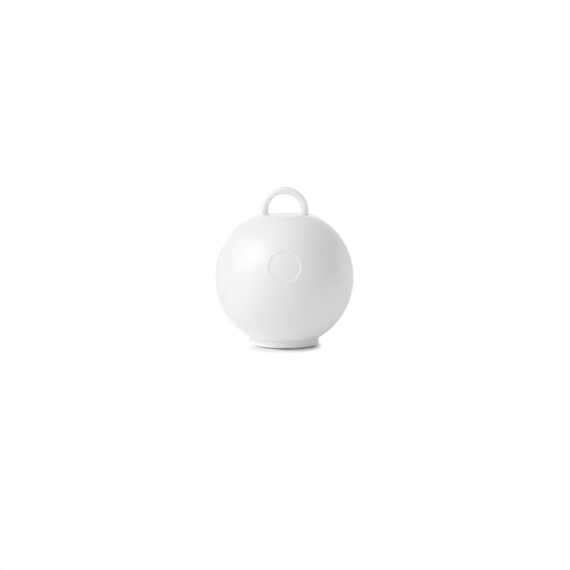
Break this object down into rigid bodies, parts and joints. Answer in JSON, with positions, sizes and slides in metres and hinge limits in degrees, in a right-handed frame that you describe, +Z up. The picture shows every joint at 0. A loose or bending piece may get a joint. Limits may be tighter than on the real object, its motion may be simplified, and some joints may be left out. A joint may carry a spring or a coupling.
{
  "type": "balloon weight",
  "caption": "Round white plastic balloon weight: a sand-filled ball on a short foot, with a flat top and a rod loop for tying ribbons.",
  "frame": {"origin": "centre of the foot's underside, on the surface that it stands on", "axes": "+Z up through the ball to the loop, +X along the loop's width, -Y to the front with the blank label seat"},
  "size_m": [0.045, 0.045, 0.0512],
  "materials": {
    "ball_plastic": "satin",
    "loop_plastic": "satin",
    "base_plastic": "satin",
    "ballast_sand": "matte"
  },
  "bodies": {
    "root": {"upper_shell": "ball_plastic", "lower_shell": "ball_plastic", "tie_loop": "loop_plastic", "base_cap": "base_plastic", "sand_fill": "ballast_sand"}
  },
  "joints": []
}
